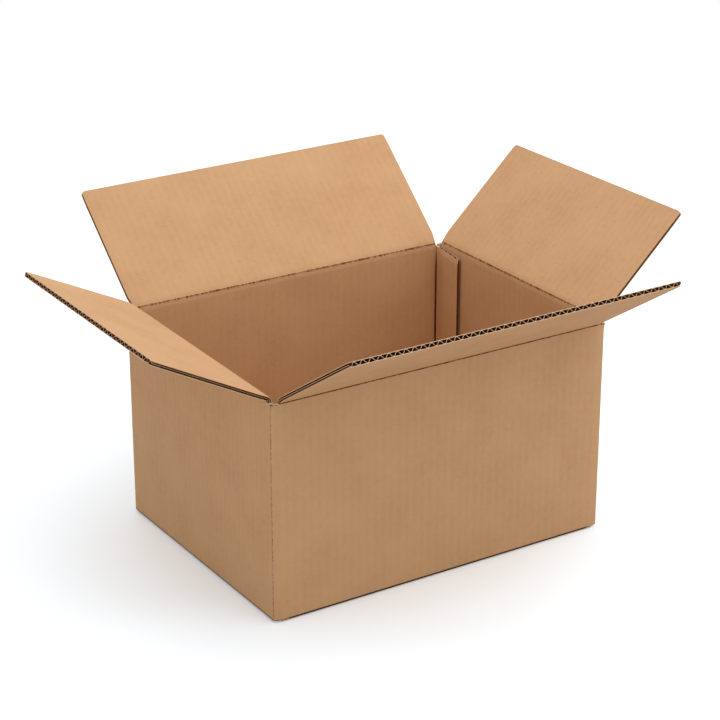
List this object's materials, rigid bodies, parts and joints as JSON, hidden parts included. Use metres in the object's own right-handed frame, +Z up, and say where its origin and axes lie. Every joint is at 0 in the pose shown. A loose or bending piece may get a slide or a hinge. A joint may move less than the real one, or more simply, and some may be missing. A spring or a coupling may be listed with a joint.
{
  "type": "shipping box",
  "caption": "Open corrugated cardboard shipping box with four top flaps that swing on their creases, a glued corner tab and a closed, taped bottom.",
  "frame": {"origin": "on the floor, under the middle of the box, at the middle of its flat underside", "axes": "+X along the long walls, +Y from the front wall to the back wall, +Z up"},
  "size_m": [0.488, 0.4222, 0.2633],
  "materials": {
    "kraft_board": "matte brown kraft liner",
    "paper_tape": "smooth brown paper"
  },
  "bodies": {
    "box": {"box_body": "kraft_board", "bottom_tape": "paper_tape"},
    "front_flap": {"front_flap": "kraft_board"},
    "back_flap": {"back_flap": "kraft_board"},
    "left_flap": {"left_flap": "kraft_board"},
    "right_flap": {"right_flap": "kraft_board"}
  },
  "joints": [
    {"name": "front_crease", "type": "hinge", "parent": "box", "child": "front_flap", "pos_m": [0, -0.1185, 0.1852], "axis": [1, 0, 0], "range_deg": [-147.5, 107.5]},
    {"name": "back_crease", "type": "hinge", "parent": "box", "child": "back_flap", "pos_m": [0, 0.1185, 0.1852], "axis": [-1, 0, 0], "range_deg": [-139.5, 115.5]},
    {"name": "left_crease", "type": "hinge", "parent": "box", "child": "left_flap", "pos_m": [-0.1565, 0, 0.181], "axis": [0, -1, 0], "range_deg": [-151.5, 103.5]},
    {"name": "right_crease", "type": "hinge", "parent": "box", "child": "right_flap", "pos_m": [0.1565, 0, 0.181], "axis": [0, 1, 0], "range_deg": [-136.6, 118.4]}
  ]
}
